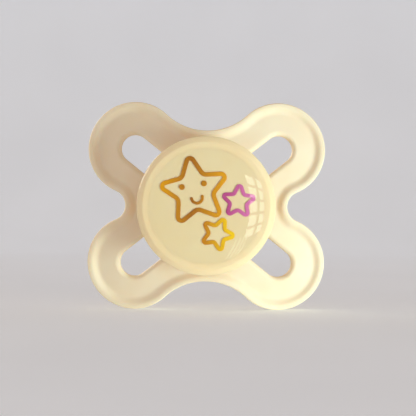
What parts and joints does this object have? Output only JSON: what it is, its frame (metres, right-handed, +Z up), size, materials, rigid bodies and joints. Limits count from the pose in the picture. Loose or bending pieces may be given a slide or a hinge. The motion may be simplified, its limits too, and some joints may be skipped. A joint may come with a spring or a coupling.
{
  "type": "pacifier",
  "caption": "Newborn pacifier: lobed bowl-shaped shield with air slots, hollow silicone teat, and a round domed button with a star print that turns in its collar.",
  "frame": {"origin": "on the teat's axis, in the plane of the flat ring round the teat on the shield's back", "axes": "+X to the right along the shield's width, +Z up along its height, -Y to the front (the button), +Y to the baby along the teat"},
  "size_m": [0.0468, 0.038, 0.0408],
  "materials": {
    "shield": "fine matte moulded texture, warm ivory",
    "silicone": "soft translucent silicone, satin",
    "lock": "plain moulded, satin",
    "glow_plastic": "moulded, satin, pale glow-in-the-dark cream",
    "printed_disc": "thin cream film, satin",
    "clear_cover": "clear polished plastic dome",
    "amber_ink": "screen-printed ink line",
    "pink_ink": "screen-printed ink line",
    "yellow_ink": "screen-printed ink line"
  },
  "bodies": {
    "shield_and_teat": {"shield": "shield", "teat": "silicone", "teat_lock": "lock"},
    "button": {"button_base": "glow_plastic", "button_disc": "printed_disc", "button_cover": "clear_cover", "big_star_print": "amber_ink", "left_eye_print": "amber_ink", "right_eye_print": "amber_ink", "smile_print": "amber_ink", "pink_star_print": "pink_ink", "yellow_star_print": "yellow_ink"}
  },
  "joints": [
    {"name": "button_swivel", "type": "hinge", "parent": "shield_and_teat", "child": "button", "pos_m": [0, -0.0047, 0], "axis": [0, -1, 0], "continuous": true}
  ]
}
